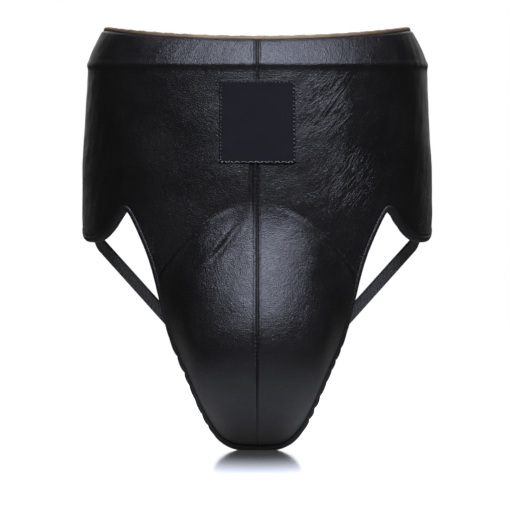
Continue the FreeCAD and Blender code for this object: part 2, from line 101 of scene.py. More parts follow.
# Looks only
SEAM_EDGE = 0.22          # the leather halves start this far from the centre line
SEAM_DEPTH = 1.5          # depth of the groove between them
SEAM_RIDGE = 0.45         # height of the turned edges beside it
RIDGE_AT = 2.0            # distance of those edges from the centre line
SEAM_STITCH_AT = 1.15     # and of the stitches beside the groove
WELT_DEPTH = 2.0          # depth of the welt's middle
WELT_RADII = (0.5, 0.4)   # its half width and half thickness
CUP_STEP = 1.5            # height of the step at the cup's arch
CUP_SIDE_FULLNESS = 3.2   # extra fullness of the cup on both sides of the seam
PLEAT_PITCH = 12.5        # distance between the gathers of the lower edge
PLEAT_DEPTH = 0.38        # share of the rolled edge's height that a gather takes away
RIM_ROLL, HEM_ROLL = 2.9, 4.6   # heights of the rolled edges
STITCH_PITCH = 3.4
STITCH_THICK = 0.42       # radius of the sewing thread
LABEL_LIFT = 0.9          # height of the label's face above its lowest edge
LABEL_THREAD_AT = 1.56    # height of its stitches above the plain wall
CLOSE_COLUMNS = (2.6, 42.0)     # degrees round: very close columns to the first, close ones to the second
SKIN_OVERRUN = 0.1        # degrees that the skins run past the wing's end


def clip(t):
    return np.clip(t, 0.0, 1.0)


def ease(t):
    t = clip(t)
    return t * t * (3 - 2 * t)


def bell(t):
    return np.exp(-np.square(t))


def unit(v):
    return v / np.linalg.norm(v)


def lengths_along(points):
    """Distance of each point from the first one, along the line of points."""
    return np.concatenate([[0], np.cumsum(np.linalg.norm(np.diff(points, axis=0), axis=1))])


def through(points, t):
    """A smooth curve through the points that never swings past them."""
    xs = np.array([p[0] for p in points], float)
    ys = np.array([p[1] for p in points], float)
    steps = np.diff(ys) / np.diff(xs)
    slopes = np.zeros(len(points))
    for i in range(1, len(points) - 1):
        before, after = steps[i - 1], steps[i]
        slopes[i] = 2 * before * after / (before + after) if before * after > 0 else 0.0
    t = np.asarray(t, float)
    i = np.clip(np.searchsorted(xs, t, side="left") - 1, 0, len(points) - 2)
    span = xs[i + 1] - xs[i]
    s = clip((t - xs[i]) / span)
    return (ys[i] * (1 + 2 * s) * (1 - s) ** 2 + slopes[i] * span * s * (1 - s) ** 2
            + ys[i + 1] * s * s * (3 - 2 * s) - slopes[i + 1] * span * s * s * (1 - s))


def rim(angle):
    """Height of the waist edge."""
    drop = np.where(np.abs(angle) < 90, RIM_DIP, REAR_DROP)
    return -drop * np.cos(np.radians(angle)) ** 2


def hem(angle):
    """Height of the lower edge, with its corners eased."""
    samples = [through(LOWER_EDGE, np.abs(np.abs(angle) + EDGE_ROUNDING * k / 3.0)) for k in range(-3, 4)]
    return -HEIGHT + sum(samples) / len(samples)


def arch(angle):
    """Height of the line where the cup starts to swell out."""
    fall = (np.sin(np.radians(angle)) / math.sin(math.radians(CUP_ARCH_ANGLE))) ** 2
    return -HEIGHT + CUP_ARCH_TOP - CUP_ARCH_DROP * fall


def outward(angle):
    """Level direction out of the body."""
    a = np.radians(angle)
    n = np.stack([np.sin(a) / HALF_WIDTH, -np.cos(a) / HALF_DEPTH, np.zeros_like(a)], -1)
    return n / np.linalg.norm(n, axis=-1, keepdims=True)


def plan(angle, z, depth):
    """Points on the plain oval of the body at this depth."""
    angle, z, depth = np.broadcast_arrays(*[np.asarray(value, float) for value in (angle, z, depth)])
    a = np.radians(angle)
    base = np.stack([HALF_WIDTH * np.sin(a), -HALF_DEPTH * np.cos(a), z], -1)
    return base - outward(angle) * depth[..., None]


def lean(angle, z):
    """How far the top band and the wall below it lean in."""
    side = np.sin(np.radians(angle)) ** 2
    band = BEVEL_FRONT + (BEVEL_SIDE - BEVEL_FRONT) * side
    bevel = clip((z - rim(angle) + band) / band) ** BEVEL_CURVE
    slow = ease((z - rim(angle) + band + LEAN_HEIGHT) / LEAN_HEIGHT)
    fade = 1 - ease((np.abs(angle) - LEAN_FADE[0]) / (LEAN_FADE[1] - LEAN_FADE[0]))
    return (BEVEL_INSET * bevel + WAIST_LEAN * slow) * fade


def swell(angle, z):
    """How far the cup stands out."""
    rise = ease((arch(angle) - z) / CUP_RISE)
    turn = 1 - (1 - clip((z - hem(angle)) / CUP_RETURN)) ** CUP_CURVE
    across = 1 - (np.sin(np.radians(angle)) / math.sin(math.radians(CUP_HALF_ANGLE))) ** 2
    return np.where(np.abs(angle) < CUP_HALF_ANGLE, CUP_PROJECTION * rise * turn * clip(across), 0.0)


def retreat(angle, z):
    """How far the lower panel has turned back under the body."""
    below = clip((CROTCH_START - HEIGHT - z) / CROTCH_START)
    return CROTCH_RETREAT * below ** CROTCH_CURVE * np.cos(np.radians(angle)) ** 2


def wall(angle, z, depth):
    """Points of the guard's wall at this depth from its outer face."""
    points = plan(angle, z, depth + lean(angle, z) - swell(angle, z))
    points[..., 1] += retreat(angle, z)
    return points


def pad(angle, z):
    """Thickness of the padded wall."""
    to_rear = np.radians(WING_END - np.abs(angle)) * (HALF_WIDTH + HALF_DEPTH) / 2
    inner = ease((rim(angle) - z) / PAD_TAPER) * ease((z - hem(angle)) / PAD_TAPER)
    return EDGE_PAD + (PAD - EDGE_PAD) * inner * ease(to_rear / PAD_TAPER)


def on_lining(angle, z, lift=0.0):
    """Points this far behind the lining's face."""
    return wall(angle, z, pad(angle, z) + lift)


# Shape of the leather

def waves(x, y, length, seed, count=7):
    """Soft unevenness, about one unit high, as a fixed sum of waves of about this length."""
    dice = np.random.default_rng(seed)
    total = np.zeros(np.broadcast(x, y).shape)
    for _ in range(count):
        turn, phase = dice.uniform(0, 2 * math.pi, 2)
        size = 2 * math.pi / (length * dice.uniform(0.7, 1.5))
        total += np.sin((x * math.cos(turn) + y * math.sin(turn)) * size + phase)
    return total / math.sqrt(count)


def fold(x, z, start, end, width, height):
    """A ridge, or a valley where the height is negative, that fades out at its ends."""
    start, end = np.array(start, float), np.array(end, float)
    along = end - start
    length = np.linalg.norm(along)
    along = along / length
    share = ((x - start[0]) * along[0] + (z - start[1]) * along[1]) / length
    off = (x - start[0]) * along[1] - (z - start[1]) * along[0]
    return height * bell(off / width) * ease(1.5 - np.abs(share - 0.5) * 2)


FOLDS = [  # start (x, z), end (x, z), width, height
    ((-43, -190), (-22, -162), 3.0, 0.9),
    ((-35, -187), (-14, -158), 2.8, -1.2),
    ((-27, -186), (-8, -158), 3.0, 0.6),
    ((-22, -192), (-9, -172), 2.2, -0.35),
    ((28, -190), (15, -168), 4.0, 0.4),
    ((-5.0, -110), (-5.0, -146), 1.5, -0.9),
    ((-6.6, -12), (-6.6, -27), 1.3, -0.5),
    ((-8.5, -112), (-8.0, -144), 1.6, 0.2),
    ((42, -84), (75, -36), 1.0, 0.34),
    ((48, -84), (80, -38), 1.1, -0.22),
    ((56, -67), (71, -49), 0.9, 0.30),
    ((59, -88), (77, -70), 0.9, 0.28),
    ((74, -120), (86, -107), 1.2, 0.22),
    ((62, -150), (86, -112), 2.2, -0.22),
    ((-50, -150), (-76, -104), 6.0, 0.25),
    ((6, -298), (11, -272), 1.8, -0.4),
    ((-6, -316), (-7, -286), 1.8, -0.35),
]


def relief(angle, z):
    """How far the leather's surface stands above the plain wall: seams, folds and soft dents."""
    x = HALF_WIDTH * np.sin(np.radians(angle))
    off_seam = np.abs(x)
    side = np.sin(np.radians(angle)) ** 2
    band = BEVEL_FRONT + (BEVEL_SIDE - BEVEL_FRONT) * side
    from_band = z - rim(angle) + band
    ridge = SEAM_RIDGE * (1 + 0.9 * ease(from_band / 6))
    groove = SEAM_DEPTH * bell(off_seam / 0.62) + 0.4 * bell(off_seam / 8)
    seam = ridge * bell((off_seam - RIDGE_AT) / 0.9) - groove
    below = arch(angle) - z
    shown = (0.12 + 0.88 * ease((off_seam - 8) / 30)) * ease((34 - np.abs(angle)) / 3)
    on_cup = ease((below - 2) / 24) * (1 - ease((below - 45) / 70))
    broad = CUP_SIDE_FULLNESS * bell((off_seam - 45) / 21) * on_cup
    step = CUP_STEP * ease((below + 1.5) / 5.0) * ease((46 - below) / 40)
    edge_of_cup = (step - 0.2 * bell((below + 2.5) / 3.0)) * shown
    front = 1 - ease((np.abs(angle) - 80) / 25)
    shoulder = (0.8 * bell((from_band - 1.5) / 2.6) - 0.3 * bell((from_band + 5) / 4)) * front
    total = seam + edge_of_cup + broad + shoulder
    for start, end, width, height in FOLDS:
        total = total + fold(x, z, start, end, width, height)
    run = np.radians(angle) * (HALF_WIDTH + HALF_DEPTH) / 2
    quiet = ease(off_seam / 14) * ease((z - hem(angle)) / 16) * ease((rim(angle) - z) / 8)
    total = total + quiet * (0.35 * waves(run, z, 60, 3) + 0.10 * waves(run, z, 17, 8))
    return total + pucker(angle, z)


def hem_run(angle):
    """Distance along the lower edge from the centre."""
    angles = np.linspace(0, WING_END, 400)
    return np.interp(np.abs(angle), angles, lengths_along(wall(angles, hem(angles), 0)))


def gathers(angle):
    """Pleats of the leather gathered over the lower edge, from 0 to 1, strongest low on the cup."""
    run = hem_run(angle)
    side = np.sign(angle)
    uneven = run + 3.0 * np.sin(run / 21.0 + 1.7 * side) + 1.6 * np.sin(run / 7.9 - side)
    pleat = 1 - np.abs(np.sin(math.pi * uneven / PLEAT_PITCH)) ** 0.6
    height = 0.68 + 0.32 * np.sin(run / 10.7 + 2.1 * side)
    low = ease((run - 30) / 30) * (1 - ease((run - 105) / 40))
    lobe = bell((run - 268) / 16)
    return pleat * height * np.maximum(np.maximum(low, 0.5 * lobe), 0.07)


def pucker(angle, z):
    """Dents that the gathers make in the leather just above the lower edge."""
    return -gathers(angle) * bell(np.maximum(z - hem(angle), 0) / 8.0)


# Mesh helpers

def piece(name, points, faces, material):
    """Smooth-shaded mesh object from points in millimetres."""
    mesh = bpy.data.meshes.new(name)
    mesh.from_pydata([tuple(p) for p in np.asarray(points, float) * MM], [], faces)
    mesh.validate()
    mesh.polygons.foreach_set("use_smooth", [True] * len(mesh.polygons))
    mesh.materials.append(material)
    mesh.update()
    made = bpy.data.objects.new(name, mesh)
    bpy.context.collection.objects.link(made)
    return made


def grid_faces(rows, columns, around=False, flip=False, first=0):
    """Four-sided faces of a grid of points, closed around its columns if wanted."""
    faces = []
    for i in range(rows - 1):
        for j in range(columns if around else columns - 1):
            k = (j + 1) % columns
            face = (first + i * columns + j, first + (i + 1) * columns + j,
                    first + (i + 1) * columns + k, first + i * columns + k)
            faces.append(face[::-1] if flip else face)
    return faces


def sheet_mesh(name, grid, material, flip=False):
    """Open surface from a grid of points."""
    rows, columns = grid.shape[:2]
    return piece(name, grid.reshape(-1, 3), grid_faces(rows, columns, flip=flip), material)


def tube_mesh(name, rings, material, flip=False):
    """Closed body through rings of points, with flat ends."""
    count, around = len(rings), len(rings[0])
    points = np.concatenate(rings)
    faces = grid_faces(count, around, around=True, flip=flip)
    ends = [tuple(range(around)), tuple(range((count - 1) * around, count * around))[::-1]]
    faces += [e[::-1] for e in ends] if flip else ends
    return piece(name, points, faces, material)


def rounded_section(width, thick, corner, steps=3, across=6):
    """Outline of a flat band's section, as (across, through) pairs."""
    corners = [(1, 1, 0), (-1, 1, 90), (-1, -1, 180), (1, -1, 270)]
    outline = []
    for sx, sy, start in corners:
        for k in range(steps + 1):
            a = math.radians(start + 90.0 * k / steps)
            outline.append((sx * (width / 2 - corner) + corner * math.cos(a),
                            sy * (thick / 2 - corner) + corner * math.sin(a)))
        if (sx, sy) in ((1, 1), (-1, -1)):
            for k in range(1, across):
                outline.append((sx * (width / 2 - corner) * (1 - 2.0 * k / across), sy * thick / 2))
    return outline


def stitch_row(name, places, material, length=2.3, radius=STITCH_THICK):
    """Row of thread stitches; each place is (middle, direction along, direction out)."""
    points, faces = [], []
    profile = [(-0.5, 0.25), (-0.36, 0.85), (0.0, 1.0), (0.36, 0.85), (0.5, 0.25)]
    for middle, along, out in places:
        along = unit(along)
        side = unit(np.cross(along, out))
        out = np.cross(side, along)
        first = len(points)
        for share, wide in profile:
            lift = -1.1 * radius * (2 * share) ** 2
            for k in range(6):
                a = math.radians(60 * k)
                ring = side * (math.cos(a) * radius * wide) + out * (math.sin(a) * radius * wide + lift)
                points.append(middle + along * (share * length) + ring)
        faces += grid_faces(len(profile), 6, around=True, first=first)
        faces.append(tuple(first + k for k in range(6)))
        faces.append(tuple(first + (len(profile) - 1) * 6 + k for k in range(6))[::-1])
    return piece(name, points, faces, material)


def along_line(points, outs, pitch=STITCH_PITCH):
    """Stitch places at even steps along a line of points."""
    points, outs = np.asarray(points), np.asarray(outs)
    lengths = lengths_along(points)

    def at(values, s):
        return np.array([np.interp(s, lengths, values[:, k]) for k in range(3)])

    places = []
    for s in np.arange(pitch / 2, lengths[-1] - pitch / 3, pitch):
        along = at(points, min(s + 0.5, lengths[-1])) - at(points, max(s - 0.5, 0))
        places.append((at(points, s), along, at(outs, s)))
    return places


# Materials

MIX_COLOUR_A, MIX_COLOUR_B = 6, 7     # inputs of Blender's Mix node when it mixes colours
THREADS_TO_SCALE = 1 / 6.28           # turns a number of threads into a wave texture's scale


def give(tree, node, inputs):
    """Links each input that is given as another node's output, and sets the others."""
    for key, value in inputs.items():
        if isinstance(value, bpy.types.NodeSocket):
            tree.links.new(value, node.inputs[key])
        else:
            node.inputs[key].default_value = value


def add(tree, kind, inputs=None, **settings):
    """New shader node with its settings and inputs."""
    node = tree.nodes.new("ShaderNode" + kind)
    for key, value in settings.items():
        setattr(node, key, value)
    give(tree, node, inputs or {})
    return node


def start_material(name):
    """New material, with its node tree, its shader and the object's own coordinates."""
    material = bpy.data.materials.new(name)
    material.use_nodes = True
    tree = material.node_tree
    return material, tree, tree.nodes["Principled BSDF"], coordinates(tree)


def coordinates(tree, stretch=(1, 1, 1), turn=(0, 0, 0)):
    """The object's own coordinates, turned, then stretched along the turned axes."""
    where = add(tree, "TexCoord").outputs["Object"]
    settings = {"Vector": where, "Scale": stretch, "Rotation": turn}
    return add(tree, "Mapping", settings, vector_type="TEXTURE").outputs["Vector"]


def bump_chain(tree, shader, layers):
    """Stacks bumps on a shader; each layer is (height output, strength, distance in metres)."""
    normal = None
    for height, strength, distance in layers:
        bump = add(tree, "Bump", {"Height": height, "Strength": strength, "Distance": distance})
        if normal:
            tree.links.new(normal, bump.inputs["Normal"])
        normal = bump.outputs["Normal"]
    tree.links.new(normal, shader.inputs["Normal"])


def colour_between(tree, factor, dark, light, low=0.3, high=0.7):
    ramp = add(tree, "ValToRGB", {"Fac": factor})
    for element, position, colour in zip(ramp.color_ramp.elements, (low, high), (dark, light)):
        element.position = position
        element.color = (*colour, 1)
    return ramp.outputs["Color"]


def shades(tree, factor, share, colour):
    """From a share of the colour up to the full colour."""
    return colour_between(tree, factor, [c * share for c in colour], colour)


def spread(tree, value, start, end, span=(0.0, 1.0), interpolation="LINEAR"):
    """Goes from start to end as the value crosses the span, and stays there."""
    ends = {"Value": value, "From Min": span[0], "From Max": span[1], "To Min": start, "To Max": end}
    return add(tree, "MapRange", ends, interpolation_type=interpolation).outputs["Result"]


def smooth(tree, value, start, end, span):
    return spread(tree, value, start, end, span, "SMOOTHSTEP")


def maths(tree, operation, first, second=0.5):
    return add(tree, "Math", {0: first, 1: second}, operation=operation).outputs["Value"]


def away_from(tree, place, point):
    """Distance from a point, in metres."""
    return add(tree, "VectorMath", {0: place, 1: point}, operation="DISTANCE").outputs["Value"]


def noise(tree, vector, scale, detail=3.0, rough=0.55):
    look = {"Vector": vector, "Scale": scale, "Detail": detail, "Roughness": rough}
    return add(tree, "TexNoise", look).outputs["Fac"]


def cells(tree, vector, scale):
    look = {"Vector": vector, "Scale": scale}
    return add(tree, "TexVoronoi", look, feature="DISTANCE_TO_EDGE").outputs["Distance"]


def wave(tree, vector, scale, direction, distortion):
    look = {"Vector": vector, "Scale": scale, "Distortion": distortion}
    return add(tree, "TexWave", look, bands_direction=direction).outputs["Fac"]


def spot(tree, middle, radius):
    """1 at a place on the front, in millimetres, fading to 0 at this radius from it."""
    away = away_from(tree, coordinates(tree), tuple(c * MM for c in middle))
    return smooth(tree, away, 1.0, 0.0, (0.0, radius * MM))


def wrinkles(tree, turn, scale, middle, radius, thin=0.05):
    """Fine parallel wrinkles inside a spot, running at this turn from upright."""
    along = coordinates(tree, (1.0, 3.0, 9.0), (0, math.radians(turn), 0))
    from_middle = maths(tree, "ABSOLUTE", maths(tree, "SUBTRACT", noise(tree, along, scale, 2.0, 0.5)))
    ridge = spread(tree, from_middle, 1.0, 0.0, (0.0, thin))
    return maths(tree, "MULTIPLY", ridge, spot(tree, middle, radius))


def leather(name, dark, light, rough, grain=620.0, grain_strength=0.75, creases=0.25, spots=()):
    """Grained leather: pebbled cells, fine pores, soft slanting creases and uneven gloss."""
    material, tree, shader, plain = start_material(name)
    slanting = coordinates(tree, (1.0, 1.0, 3.6), (0, math.radians(38), 0))
    broad = noise(tree, plain, 26.0, 4.0)
    pebbles = cells(tree, plain, grain)
    pores = noise(tree, plain, grain * 2.4, 2.0)
    mottle = noise(tree, plain, 240.0, 2.0)
    lines = noise(tree, slanting, 150.0, 5.0, 0.62)
    give(tree, shader, {"Base Color": colour_between(tree, broad, dark, light),
                        "Roughness": spread(tree, broad, rough - 0.06, rough + 0.08)})
    layers = [(lines, creases, 0.0008), (mottle, 0.3, 0.0012), (pebbles, grain_strength, 0.0005),
              (pores, 0.25, 0.0002)]
    for turn, scale, middle, radius, strength in spots:
        layers.append((wrinkles(tree, turn, scale, middle, radius), strength, 0.0006))
    bump_chain(tree, shader, layers)
    return material


def rim_leather():
    """The waist binding's leather, a deeper tan than the lining, with painted shade that turns it dark brown
    towards the hips.
    """
    made = leather("rim_leather", (0.15, 0.091, 0.035), (0.27, 0.183, 0.084), 0.6, grain=500.0,
                   grain_strength=0.3)
    tree = made.node_tree
    base = tree.nodes["Principled BSDF"].inputs["Base Color"]
    # Painted shade: dark brown mixed in by distance from the front of the waist, so the binding darkens
    # towards the hips.
    shade = add(tree, "Mix", data_type="RGBA")
    give(tree, shade, {"Factor": spot(tree, (0, -110, 0), 165), MIX_COLOUR_A: (0.055, 0.031, 0.012, 1),
                       MIX_COLOUR_B: base.links[0].from_socket})
    tree.links.new(shade.outputs[2], base)
    return made


def cloth(name, dark, light, threads, rough=0.85, sheen=0.3, strength=0.5):
    """Plain woven cloth: threads both ways with slight unevenness."""
    material, tree, shader, plain = start_material(name)
    across = wave(tree, plain, threads * THREADS_TO_SCALE, "X", 0.4)
    up = wave(tree, plain, threads * THREADS_TO_SCALE, "Z", 0.4)
    give(tree, shader, {"Base Color": colour_between(tree, noise(tree, plain, 60.0, 4.0), dark, light),
                        "Roughness": rough, "Sheen Weight": sheen, "Specular IOR Level": 0.25})
    weave = maths(tree, "MULTIPLY", across, up)
    bump_chain(tree, shader, [(weave, strength, 0.0003), (noise(tree, plain, 1800.0), 0.2, 0.0001)])
    return material


def elastic(name, dark, light, ribs=1150.0, direction="Z"):
    """Knitted elastic webbing: fine ribs along it and a tighter cross weave."""
    material, tree, shader, plain = start_material(name)
    rib = wave(tree, plain, ribs * THREADS_TO_SCALE, direction, 0.15)
    knit = wave(tree, plain, ribs / 3.6, "DIAGONAL", 0.6)
    give(tree, shader, {"Base Color": colour_between(tree, rib, dark, light, 0.1, 0.9),
                        "Roughness": 0.78, "Sheen Weight": 0.25})
    bump_chain(tree, shader, [(rib, 0.55, 0.0005), (knit, 0.3, 0.0002)])
    return material


def fuzz(name, colour, scale, strength):
    """Hook or loop tape: a dense field of small hooks or matted loops."""
    material, tree, shader, plain = start_material(name)
    tufts = cells(tree, plain, scale)
    matted = noise(tree, plain, scale * 0.5, 6.0, 0.7)
    give(tree, shader, {"Base Color": shades(tree, matted, 0.5, colour), "Roughness": 0.9,
                        "Sheen Weight": 0.4})
    bump_chain(tree, shader, [(matted, strength, 0.0008), (tufts, strength, 0.0005)])
    return material


def plastic(name, colour, rough):
    """Moulded plastic: fine specks and slightly uneven gloss."""
    material, tree, shader, plain = start_material(name)
    speck = noise(tree, plain, 900.0, 2.0)
    gloss = spread(tree, noise(tree, plain, 40.0), rough - 0.05, rough + 0.08)
    give(tree, shader, {"Base Color": shades(tree, speck, 0.8, colour), "Roughness": gloss})
    bump_chain(tree, shader, [(speck, 0.15, 0.0001)])
    return material


def foam(name, colour):
    """Open foam with fine pores."""
    material, tree, shader, plain = start_material(name)
    tint = shades(tree, noise(tree, plain, 90.0), 0.85, colour)
    give(tree, shader, {"Base Color": tint, "Roughness": 0.95})
    bump_chain(tree, shader, [(cells(tree, plain, 800.0), 0.6, 0.0006)])
    return material


WRINKLE_SPOTS = [  # turn from upright, scale, middle, radius, strength
    (42, 420.0, (50, -100, -62), 38, 0.55),
    (38, 420.0, (72, -90, -122), 42, 0.45),
    (46, 380.0, (-60, -96, -120), 46, 0.22),
    (40, 360.0, (-27, -140, -186), 26, 0.35),
]
BLACK = leather("black_leather", (0.0036, 0.0028, 0.0024), (0.0072, 0.0056, 0.0047), 0.37,
                spots=WRINKLE_SPOTS)
BLACK_EDGE = leather("black_leather_edge", (0.0055, 0.005, 0.0046), (0.012, 0.011, 0.010), 0.46, creases=0.5)
RIM_TAN = rim_leather()
LINING = leather("lining_leather", (0.46, 0.32, 0.20), (0.62, 0.46, 0.31), 0.62, grain=420.0,
                 grain_strength=0.4)
LABEL = cloth("label_cloth", (0.0040, 0.0039, 0.0050), (0.0048, 0.0047, 0.0060), threads=2600.0, sheen=0.0,
              strength=0.18)
# Light grey cloth for the label's folded top edge: a painted highlight on the near-black label.
LABEL_FOLD_HIGHLIGHT = cloth("label_fold_painted_highlight", (0.05, 0.052, 0.056), (0.11, 0.115, 0.125), threads=2600.0, rough=0.6)
THREAD = cloth("grey_thread", (0.10, 0.10, 0.105), (0.30, 0.30, 0.31), threads=5200.0, rough=0.6)
BLACK_THREAD = cloth("black_thread", (0.02, 0.02, 0.022), (0.06, 0.06, 0.065), threads=5200.0, rough=0.5)
BELT_ELASTIC = elastic("belt_elastic", (0.012, 0.012, 0.013), (0.030, 0.030, 0.032))
STRAP_ELASTIC = elastic("strap_elastic", (0.013, 0.012, 0.008), (0.028, 0.025, 0.018), ribs=1600.0,
                        direction="X")
LOOPS = fuzz("loop_tape", (0.030, 0.030, 0.032), 900.0, 0.7)
HOOKS = fuzz("hook_tape", (0.018, 0.018, 0.019), 1400.0, 0.9)
KEEPER = plastic("keeper_plastic", (0.020, 0.020, 0.021), 0.35)
CUP_SHELL = plastic("cup_plastic", (0.11, 0.12, 0.13), 0.5)
FOAM = foam("padding_foam", (0.62, 0.58, 0.48))


# Pieces of the padded wall

def settle(made, node=None, body="guard"):
    """Hangs a piece on its body and hides the node that it stands for, if any."""
    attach(made, body)
    if node:
        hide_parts(node)


def sides():
    """Name and sign of x of the wearer's left and right."""
    return (("left", 1), ("right", -1))


def outer_leather():
    """Both halves of the black outer, with the turned seam edges, folds and gathered lower edge."""
    start = math.degrees(math.asin(SEAM_EDGE / HALF_WIDTH))
    first, second = CLOSE_COLUMNS
    turns = np.concatenate([np.linspace(start, first, 16), np.linspace(first, second, 130)[1:],
                            np.linspace(second, WING_END + SKIN_OVERRUN, 130)[1:]])
    share = np.linspace(0, 1, 236)
    for name, side in sides():
        angle = (turns * side)[:, None]
        z = hem(angle) + (rim(angle) - hem(angle)) * share[None, :]
        edge = 1.3 * bell((rim(angle) - z) / 0.9) + 1.0 * bell((z - hem(angle)) / 1.2)
        points = wall(angle, z, edge - relief(angle, z))
        made = sheet_mesh("outer_leather_" + name + "_skin", points, BLACK, flip=side < 0)
        settle(made, "outer_leather_" + name)


def linings():
    """Both halves of the lining, slightly uneven, with a dent at the seam between them."""
    for name, side in sides():
        turns = np.linspace(0.05, WING_END + SKIN_OVERRUN, 120)
        angle = (turns * side)[:, None]
        z = hem(angle) + (rim(angle) - hem(angle)) * np.linspace(0, 1, 130)[None, :]
        run = np.radians(angle) * (HALF_WIDTH + HALF_DEPTH) / 2
        soft = 0.35 * waves(run, z, 45, 21) + 0.12 * waves(run, z, 14, 22) - 1.0 * bell(np.abs(run) / 1.6)
        soft = soft * ease((rim(angle) - z) / 6) * ease((z - hem(angle)) / 6)
        made = sheet_mesh("lining_" + name + "_skin", on_lining(angle, z, soft), LINING, flip=side > 0)
        settle(made, "lining_" + name)


def round_ring(centre, side, up, wide, tall, steps=8):
    """Oval ring of points round a centre."""
    turns = np.linspace(0, 2 * math.pi, steps, endpoint=False)
    return np.array([centre + side * (wide * math.cos(t)) + up * (tall * math.sin(t)) for t in turns])


def welt():
    """Thin leather strip at the bottom of the centre seam's groove."""
    rings = []
    for s in np.linspace(0, 1, 160):
        centre = wall(0.0, hem(0.0) + (rim(0.0) - hem(0.0)) * s, WELT_DEPTH)
        rings.append(round_ring(centre, np.array([1, 0, 0]), np.array([0, 1, 0]), *WELT_RADII))
    made = tube_mesh("centre_welt_strip", rings, BLACK_EDGE)
    settle(made, "centre_welt")


def roll(name, angles, edge, direction, near, far, height, material, swing=None):
    """Rolled binding along an edge of the wall, standing out by height.

    It reaches from the depth near to the distance far behind the lining. The direction is 1 for the
    waist edge and -1 for the lower edge; swing scales the height by angle.
    """
    rings = []
    for angle in angles:
        z = float(edge(angle))
        thick = float(pad(angle, z)) + far
        face, back = wall(angle, z, near), wall(angle, z, thick)
        step = wall(angle + 0.3, float(edge(angle + 0.3)), 0) - wall(angle - 0.3, float(edge(angle - 0.3)), 0)
        across = back - face
        out = unit(np.cross(step, across))
        if out[2] * direction < 0:
            out = -out
        tall = height * (swing(angle) if swing else 1.0)
        middle = (face + back) / 2
        ring = []
        for k in range(15):
            a = math.pi * k / 14
            wide = 0.5 * math.copysign(abs(math.cos(a)) ** 0.8, math.cos(a))
            ring.append(middle - across * wide + out * (tall * math.sin(a) ** 0.8))
        for k in range(1, 5):
            ring.append(middle + across * (0.5 - k / 5.0) * 0.9 - out * 1.4)
        rings.append(np.array(ring))
    return tube_mesh(name, rings, material)


def bindings():
    """The tan roll of the waist edge and the gathered black rolls of the lower edge."""
    angles = np.linspace(-WING_END, WING_END, 260)
    made = roll("waist_binding_roll", angles, rim, 1, 1.1, 0.5, RIM_ROLL, RIM_TAN,
                swing=lambda a: 1 + 0.06 * math.sin(a * 0.9) + 0.04 * math.sin(a * 2.3 + 1))
    settle(made, "waist_binding")
    for name, side in sides():
        angles = side * np.concatenate([np.linspace(0.0, 50, 330), np.linspace(50, WING_END, 150)[1:]])
        made = roll("leg_binding_" + name + "_roll", angles, hem, -1, -0.3, 0.6, HEM_ROLL, BLACK_EDGE,
                    swing=lambda a: 1.0 - PLEAT_DEPTH * float(gathers(a)))
        settle(made, "leg_binding_" + name)


def seam_stitches():
    """A row of stitches on each side of the centre seam."""
    for name, side in sides():
        angle = side * math.degrees(math.asin(SEAM_STITCH_AT / HALF_WIDTH))
        z = np.linspace(float(hem(angle)) + 6, float(rim(angle)) - 4, 300)
        points = wall(angle, z, -relief(np.full_like(z, angle), z) + 0.05)
        outs = np.tile(outward(np.array(angle)), (len(z), 1))
        places = along_line(points, outs)
        made = stitch_row("seam_stitches_" + name, places, BLACK_THREAD, length=1.7, radius=0.26)
        settle(made)


def angle_at(x):
    """Degrees round at which the plain wall has this x."""
    return np.degrees(np.arcsin(np.asarray(x) / HALF_WIDTH))


